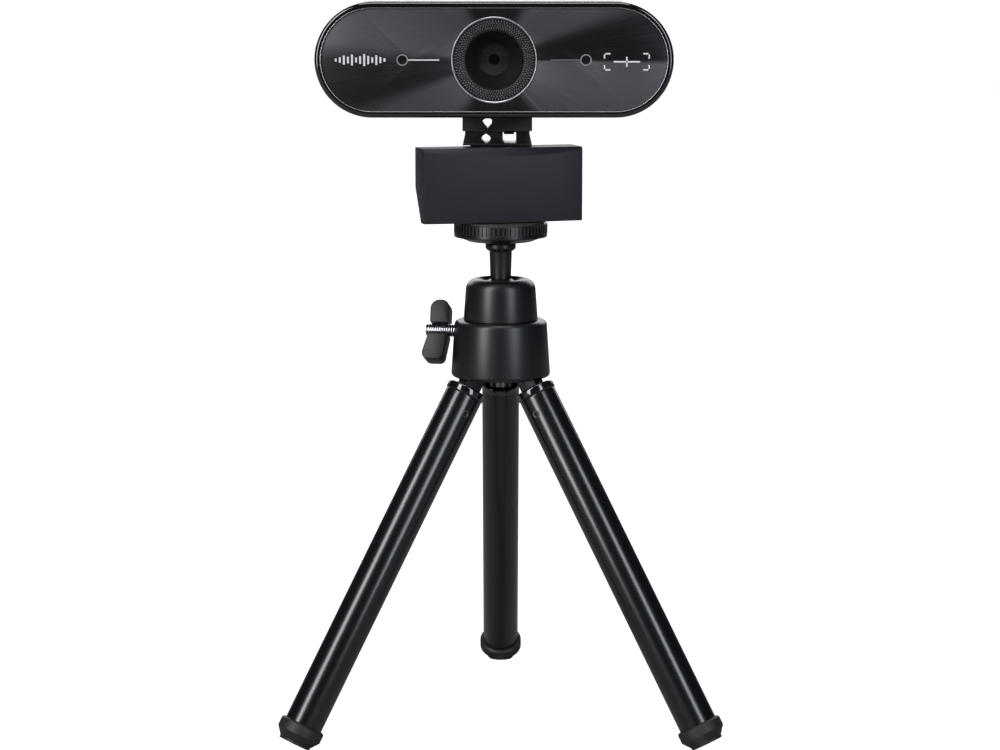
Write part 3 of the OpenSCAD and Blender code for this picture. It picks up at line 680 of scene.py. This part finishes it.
def make_housing():
    low, high = box_mm("housing_collar")
    z0, z1 = low.z, high.z
    foot_r = (high - low).x / 2
    skirt_r, well_r, screw_r = 12.9, 7.0, 1.25
    web_low, web_high = z0 + 8.4, z0 + 9.6
    outline = rounded([(skirt_r, z0, 0.3), (foot_r, z0, 1.1), (foot_r - 1.1, z1, 1.5), (well_r, z1, 0.3),
                       (well_r, web_high), (screw_r, web_high), (screw_r, web_low), (skirt_r, web_low, 0.6)])
    mesh = lathe("head_housing", AXIS, outline, hollow=True, segments=128)
    finish_piece("head_housing", mesh, "tripod_head", "satin_black", FINISH["satin_black"], "housing_collar")


def make_cap():
    low, high = box_mm("ball_cap")
    z0, z1 = low.z, high.z
    foot_r = (high - low).x / 2
    skirt_r, mouth_r, socket_r, mouth_angle = 7.3, 6.5, 6.55, 39.3
    outline = rounded([(skirt_r, z0, 0.2), (foot_r, z0, 0.3), (foot_r - 0.9, z1, 3.2), (mouth_r, z1, 0.3)])
    outline += arc((0, BALL.z), socket_r, mouth_angle, 0, 12) + [Vector((skirt_r, BALL.z - 0.2))]
    mesh = lathe("ball_cap_shell", AXIS, outline, hollow=True, segments=128)
    finish_piece("ball_cap_shell", mesh, "tripod_head", "satin_black", FINISH["satin_black"], "ball_cap")


def make_stem():
    low, high = box_mm("ball_stem")
    flange = high.z - 2
    ball_r, neck_r, top_r, flange_r = 6.5, 3.05, 3.3, 4.45
    ball = arc((0, BALL.z), ball_r, -90, 63, 24)
    outline = ball + rounded([(neck_r, BALL.z + 5.9), (neck_r, BALL.z + 6.1, 0.1), (top_r, flange, 0.3),
                              (flange_r - 0.65, flange, 0.1), (flange_r, flange + 0.7, 0.2),
                              (flange_r, high.z, 0.25), (0, high.z)], closed=False)
    mesh = lathe("ball_and_stem", AXIS, outline)
    finish_piece("ball_and_stem", mesh, "ball_stem", "stem_paint", FINISH["stem_paint"], "ball_stem")
    screw_low, screw_high = box_mm("camera_screw")
    screw_r, pitch, groove = 3.17, 1.27, 0.55
    screw = thread("quarter_inch_screw", AXIS, screw_r, pitch, groove, screw_low.z, screw_high.z, 0.9)
    finish_piece("quarter_inch_screw", screw, "ball_stem", "zinc_steel", FINISH["zinc_steel"], "camera_screw")


def make_wheel():
    low, high = box_mm("knurled_wheel")
    z0, z1 = low.z, high.z
    rim, rib = z1 - 3.9, 2.8
    bore_r, rim_r, ribbed_r = 3.25, 13.6, 13.3
    outline = rounded([(bore_r, z0), (4.6, z0, 0.3), (9.4, rim - 1.3, 2.5), (12.6, rim, 0.4),
                       (rim_r, rim, 0.25), (rim_r, z1 - rib, 0.15), (ribbed_r, z1 - rib, 0.1),
                       (ribbed_r, z1, 0.3), (bore_r, z1)])
    mesh = lathe("lock_wheel_body", AXIS, outline, hollow=True, segments=128)
    finish_piece("lock_wheel_body", mesh, "lock_wheel", "wheel_plastic", FINISH["wheel_plastic"],
                 "knurled_wheel")
    polar_studs("lock_wheel_ribs", AXIS, "lock_wheel", "wheel_plastic", "wheel_plastic", count=66, rows=1,
                inner=13.22, pitch=0.0, size=(0.9, 0.66, rib), rise=0.0, height=z1 - rib / 2, box=True)


def make_clamp():
    low, high = box_mm("clamp_screw")
    length = (high - low).x / abs(CLAMP_AXIS.x)
    screw_r, pitch, groove, start, hidden = 1.98, 0.7, 0.3, 4.8, 1.2
    screw = thread("clamp_thread", CLAMP, screw_r, pitch, groove, start, start + length - hidden, 0.5)
    finish_piece("clamp_thread", screw, "wing_screw", "bright_steel", FINISH["bright_steel"], "clamp_screw")
    # Two full lobes, with the screw's thread bare between them in front and a thin web behind it.
    bm = bmesh.new()
    upper = rounded([(-1.5, 15.4, 0.4), (-1.5, 21.0, 0.8), (-8.8, 21.4, 2.6), (-8.6, 15.8, 2.2)])
    lower = rounded([(1.5, 15.4, 0.4), (9.7, 16.4, 1.6), (9.8, 23.2, 2.2), (1.5, 21.2, 0.8)])
    web = [(-2.4, 15.6), (2.4, 15.6), (2.4, 20.6), (-2.4, 20.6)]
    back, front, web_front = -2.8, 2.8, -2.05
    for outline, reach in ((upper, front), (lower, front), (web, web_front)):
        plate(bm, outline, back, reach)
    wing = to_mesh("wing_grip", bm, CLAMP @ turn_about("Z", WING_TURN))
    finish_piece("wing_grip", swollen(wing, 1.4), "wing_screw", "wing_rubber", FINISH["wing_rubber"],
                 "wing_knob")


# Name, CAD node, slot, width and segments of the rounded edges of a leg's softened pieces.
SOFT_LEG = (("pivot_lug", "leg_lug", "satin_black", 0.3, 3),
            ("foot", "leg_foot", "soft_rubber", 0.45, 4),
            ("rivet", "leg_rivet", "dark_steel", 0.12, 3))


def make_leg(side):
    place = leg_frame(side)
    body = f"leg_{side}"
    ring_top, ring_low, ring_r, ring_bore = -6.2, -8.5, 5.8, 3.6
    sole, tube_r, tube_bore = -120.6, 5.55, 4.75
    ring = rounded([(ring_bore, ring_low, 0.2), (ring_r, ring_low, 0.35), (ring_r, ring_top, 0.6),
                    (ring_bore, ring_top, 0.3)])
    finish_piece(f"top_ring_{side}", lathe(f"top_ring_{side}", place, ring, hollow=True), body, "satin_black",
                 FINISH["ring_paint"], f"leg_ring_{side}")
    tube_low = sole + 6.1
    tube = rounded([(tube_bore, tube_low), (tube_r, tube_low, 0.1), (tube_r, ring_low, 0.35),
                    (tube_bore, ring_low)])
    finish_piece(f"tube_{side}", lathe(f"tube_{side}", place, tube, hollow=True), body, "leg_paint",
                 FINISH["leg_paint"], f"leg_tube_{side}")
    for name, node, slot, width, segments in SOFT_LEG:
        soft = softened(f"{name}_{side}", f"{node}_{side}", width, segments)
        finish_piece(f"{name}_{side}", soft, body, slot, FINISH[slot], f"{node}_{side}")


# ---------- clip and neck ----------

# Name, CAD node, body, slot and edge width of the softened pieces of the clip and neck.
SOFT_CLIP = (("lip_and_arm", "clip_arm", "clip_arm", "clip_plastic", 0.45),
             ("folding_jaw", "clip_leg", "clip_leg", "clip_plastic", 0.3),
             ("lip_cushions", "lip_pads", "clip_arm", "soft_rubber", 0.2),
             ("turning_base", "neck_base", "neck", "neck_plastic", 0.15),
             ("yoke_hood", "neck_yoke", "webcam", "neck_plastic", 0.35))


def make_clip():
    for name, node, body, slot, width in SOFT_CLIP:
        finish_piece(name, softened(name, node, width), body, slot, FINISH[slot], node)


# ---------- webcam ----------

def bored(mesh, recesses):
    """The rear cover with round recesses cut into its back: each is (x, z, radius, depth)."""
    bm = bmesh.new()
    past_back = 1
    for x, z, radius, depth in recesses:
        low, high = CAM_DEPTH - depth, CAM_DEPTH + past_back
        rod = lathe("recess", CAM_LATHE @ Matrix.Translation((x, -z, 0)),
                    [(0, low), (radius, low), (radius, high), (0, high)], segments=48)
        bm.from_mesh(rod)
        bpy.data.meshes.remove(rod)
    rods = bpy.data.meshes.new("recesses")
    bm.to_mesh(rods)
    bm.free()
    name = mesh.name
    cover, cutter = in_scene(name, mesh), in_scene("recesses", rods)
    cut = cover.modifiers.new("recesses", "BOOLEAN")
    cut.operation = "DIFFERENCE"
    cut.solver = "EXACT"
    cut.object = cutter
    made = smoothed(applied(cover))
    bpy.data.objects.remove(cutter)
    made.name = name
    return made


def make_shells():
    wall, seam, middle_r, lap = 1.8, 0.15, 6.0, 3
    inner_r = CAM_R - wall
    rim = rounded([(inner_r, 0.0, 0.25), (CAM_R, 0.0, 1.1), (CAM_R, SPLIT - seam, 0.12),
                   (inner_r, SPLIT - seam)], steps=8)
    finish_piece("gloss_rim", pill("gloss_rim", rim, hollow=True), "webcam", "shell_gloss",
                 FINISH["shell_gloss"], "front_shell")
    outline = rounded([(middle_r, SPLIT + lap), (inner_r, SPLIT + lap), (inner_r, SPLIT),
                       (CAM_R, SPLIT + seam, 0.12), (CAM_R, CAM_DEPTH, 5.0), (middle_r, CAM_DEPTH)],
                      closed=False, steps=10)
    screw_x = CAM_STRAIGHT + 8
    screw_r, screw_depth, gland_r, gland_depth = 2.45, 1.3, 3.3, 2.0
    gland_low, gland_high = box_mm("cable_gland")
    gland_z = (gland_low.z + gland_high.z) / 2 - CAM_MIDDLE.z
    cover = bored(pill("rear_cover", outline), [
        (-screw_x, 0, screw_r, screw_depth), (screw_x, 0, screw_r, screw_depth),
        (0, gland_z, gland_r, gland_depth)])
    finish_piece("rear_cover", cover, "webcam", "shell_satin", FINISH["shell_satin"], "rear_shell")
    face = softened("sunburst_face", "face_panel", 0.12, 2)
    finish_piece("sunburst_face", face, "webcam", "face_metal", FINISH["face_metal"], "face_panel")


def sorted_box(x0, z0, x1, z1):
    return (min(x0, x1), min(z0, z1), max(x0, x1), max(z0, z1))


def bars(name, boxes, slot):
    """Thin printed or inlaid bars on the face: each is (left, bottom, right, top)."""
    bm = bmesh.new()
    front, back = FACE_DEPTH - 0.04, FACE_DEPTH + 0.1
    for left, bottom, right, top in boxes:
        plate(bm, [(left, bottom), (right, bottom), (right, top), (left, top)], front, back)
    finish_piece(name, to_mesh(name, bm, CAM), "webcam", slot, FINISH[slot])


def make_face_trim():
    """The bright line round the face, the lines beside the lens, the two light rings and the pictograms."""
    line_r, half = CAM_R - 1.7, 0.16
    trim = arc((line_r, half), half, -180, 0, 8)
    trim += [Vector((line_r + half, 0.7)), Vector((line_r - half, 0.7))]
    finish_piece("face_edge_line", pill("face_edge_line", trim, hollow=True), "webcam", "bright_ring",
                 FINISH["edge_line"])
    bars("left_index_line", [(-25.0, -0.17, -15.7, 0.17)], "light_guide")
    bars("right_index_line", [(16.2, -0.15, 24.6, 0.15)], "bright_ring")
    waves = (0.5, 0.9, 1.5, 1.1, 1.8, 0.8, 1.3, 2.0, 1.4, 0.9, 1.6, 1.0, 0.6)
    first, pitch, bar, half_height = -45.6, 1.16, 0.55, 0.85
    bars("sound_mark", [(first + pitch * k, -half_height * tall, first + pitch * k + bar, half_height * tall)
                        for k, tall in enumerate(waves)], "light_guide")
    brackets = []
    for side in (-1, 1):
        for up in (-1, 1):
            x, z = 38.0 + side * 6.6, up * 2.5 - 0.5
            brackets.append(sorted_box(x, z, x - side * 1.9, z - up * 0.42))
            brackets.append(sorted_box(x, z, x - side * 0.42, z - up * 1.6))
    brackets += [(34.2, -0.72, 41.8, -0.28), (37.78, -1.9, 38.22, 0.9)]
    bars("focus_mark", brackets, "light_guide")
    for side, name in ((-1, "left"), (1, "right")):
        place = CAM_LATHE @ Matrix.Translation((side * MIC_X, 0, 0))
        front, back = FACE_DEPTH - 0.08, 2.4
        ring = [(MIC_R - 0.32, front), (MIC_R, front), (MIC_R, back), (MIC_R - 0.32, back)]
        finish_piece(f"{name}_light_ring", lathe(f"{name}_light_ring", place, ring, hollow=True, segments=48),
                     "webcam", "light_guide", FINISH["ring_guide"])
        pane, pane_r = 0.62, MIC_R - 0.34
        inner = rounded([(0, pane), (pane_r, pane, 0.1), (pane_r, back), (0, back)], closed=False)
        finish_piece(f"{name}_dark_window", lathe(f"{name}_dark_window", place, inner, segments=48), "webcam",
                     "lens_black", FINISH["dark_window"])
    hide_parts("status_lights")


def radius_mm(node):
    """Radius of a round CAD node that faces forwards."""
    low, high = box_mm(node)
    return (high - low).z / 2


def make_lens():
    ring_r, window_r = radius_mm("lens_ring"), radius_mm("lens_window")
    ring = rounded([(ring_r - 0.5, 0.35, 0.15), (ring_r - 0.25, 0.1, 0.12), (ring_r, 0.35, 0.15),
                    (ring_r, 3.4), (ring_r - 0.5, 3.4)])
    finish_piece("bright_lens_ring", lathe("bright_lens_ring", CAM_LATHE, ring, hollow=True, segments=160),
                 "webcam", "bright_ring", FINISH["bright_ring"], "lens_ring")
    band = [(8.25, 1.5), (11.4, 0.75), (ring_r - 0.55, 0.75), (ring_r - 0.55, 3.2), (8.2, 3.2)]
    finish_piece("grip_band", lathe("grip_band", CAM_LATHE, band, hollow=True, segments=160), "webcam",
                 "grip_black", FINISH["grip_black"], "lens_grip_ring")
    polar_studs("grip_studs", CAM_LATHE @ turn_about("X", 180), "webcam", "grip_black", "grip_studs",
                count=84, rows=4, inner=9.05, pitch=0.68, size=(0.56, 0.34, 0.6), rise=0.15, height=-1.2)
    curve, dome_front, dome_back = 40.0, 5.35, 6.0
    edge = -90 + math.degrees(math.asin(window_r / curve))
    dome = arc((0, dome_front + curve), curve, -90, edge, 10)
    dome += [Vector((window_r, dome_back)), Vector((0, dome_back))]
    finish_piece("lens_dome", lathe("lens_dome", CAM_LATHE, dome, segments=64), "webcam", "lens_glass",
                 FINISH["lens_front"], "lens_window")
    mouth_r, step_in, mouth, step_back = 8.2, 0.4, 1.1, 0.48
    steps = []
    for k in range(9):
        radius, depth = mouth_r - step_in * k, mouth + step_back * k
        steps += [(radius, depth), (radius - 0.05, depth + 0.3)]
    cone = steps + [(window_r, 5.3), (window_r, 6.1), (5.4, 6.1), (5.4, 7.2), (ring_r - 1, 7.2),
                    (ring_r - 1, 3.3), (8.25, 3.3)]
    finish_piece("lens_hood", lathe("lens_hood", CAM_LATHE, cone, hollow=True), "webcam", "lens_black",
                 FINISH["lens_black"], "lens_cone")


def plain_nodes():
    """CAD nodes whose shape is right as it is take only their finish."""
    for part in frame["record"]["subparts"]:
        node = NODES[part["node"]]
        node.data.materials.clear()
        node.data.materials.append(FINISH[part["material_slot"]])


# ---------- the picture ----------

def soft_light(name, place, target, size, power, shade):
    lamp = bpy.data.lights.new(name, "AREA")
    lamp.shape = "RECTANGLE"
    lamp.size, lamp.size_y = size
    lamp.energy = power
    lamp.color = shade
    made = in_scene(name, lamp)
    made.location = place
    made.rotation_euler = (Vector(target) - Vector(place)).to_track_quat("-Z", "Y").to_euler()
    made.visible_camera = False


def seen_or_lit(tree, seen, lit):
    """A colour for what the camera sees directly, and another for what lights and reflects in the piece."""
    path = add(tree, "ShaderNodeLightPath")
    return mixed_colour(tree, path.outputs["Is Camera Ray"], colour(lit), colour(seen))


# Name, azimuth from the camera's side, distance, height, size, power and colour of each soft box.
SOFT_BOXES = (("key", -42, 1.5, 0.75, (0.5, 1.7), 24.0, (1.0, 1.0, 1.0)),
              ("fill", 34, 1.6, 0.6, (0.44, 1.5), 14.0, (0.86, 0.93, 1.0)),
              ("back", 180, 1.6, 0.72, (2.4, 0.7), 14.0, (1.0, 1.0, 1.0)),
              ("top", 0, 0.2, 1.5, (0.8, 0.6), 7.0, (1.0, 1.0, 1.0)))


def make_studio():
    """A white surround that stays dim in reflections, a pale floor, and soft boxes."""
    world = bpy.data.worlds.new("studio")
    world.use_nodes = True
    sky = world.node_tree
    sky.links.new(seen_or_lit(sky, 1.0, (0.032, 0.033, 0.042)), sky.nodes["Background"].inputs["Color"])
    bpy.context.scene.world = world
    bm = bmesh.new()
    bmesh.ops.create_grid(bm, size=5.0, x_segments=1, y_segments=1)
    mesh = bpy.data.meshes.new("floor")
    bm.to_mesh(mesh)
    bm.free()
    floor = in_scene("floor", mesh)
    material, tree, shader = new_material("pale floor")
    shader.inputs["Base Color"].default_value = colour(0.3)
    shader.inputs["Roughness"].default_value = 0.95
    shader.inputs["Specular IOR Level"].default_value = 0.0
    tree.links.new(seen_or_lit(tree, 1.0, 0.0), shader.inputs["Emission Color"])
    shader.inputs["Emission Strength"].default_value = 1.0
    mesh.materials.append(material)
    middle = (0.0, 0.0, 0.12)
    for name, azimuth, distance, height, size, power, shade in SOFT_BOXES:
        angle = math.radians(azimuth)
        place = (distance * math.sin(angle), BALL.y * MM - distance * math.cos(angle), height)
        soft_light(name, place, middle, size, power, shade)


def make_camera():
    """The view: close to level, 0.76 m in front of the tripod's axis, looking a little down."""
    distance, aside, eye, pitch, lens = 0.76, -0.0002, 0.222, 8.85, 94.0
    data = bpy.data.cameras.new("camera")
    data.lens = lens
    data.sensor_width = 36.0
    camera = in_scene("camera", data)
    camera.location = (aside, BALL.y * MM - distance, eye)
    camera.rotation_euler = (math.radians(90 - pitch), 0.0, 0.0)
    bpy.context.scene.camera = camera
    bpy.context.scene.view_settings.view_transform = "Standard"


plain_nodes()
make_housing()
make_cap()
make_stem()
make_wheel()
make_clamp()
for leg_side in SIDES:
    make_leg(leg_side)
make_clip()
make_shells()
make_face_trim()
make_lens()
make_studio()
make_camera()
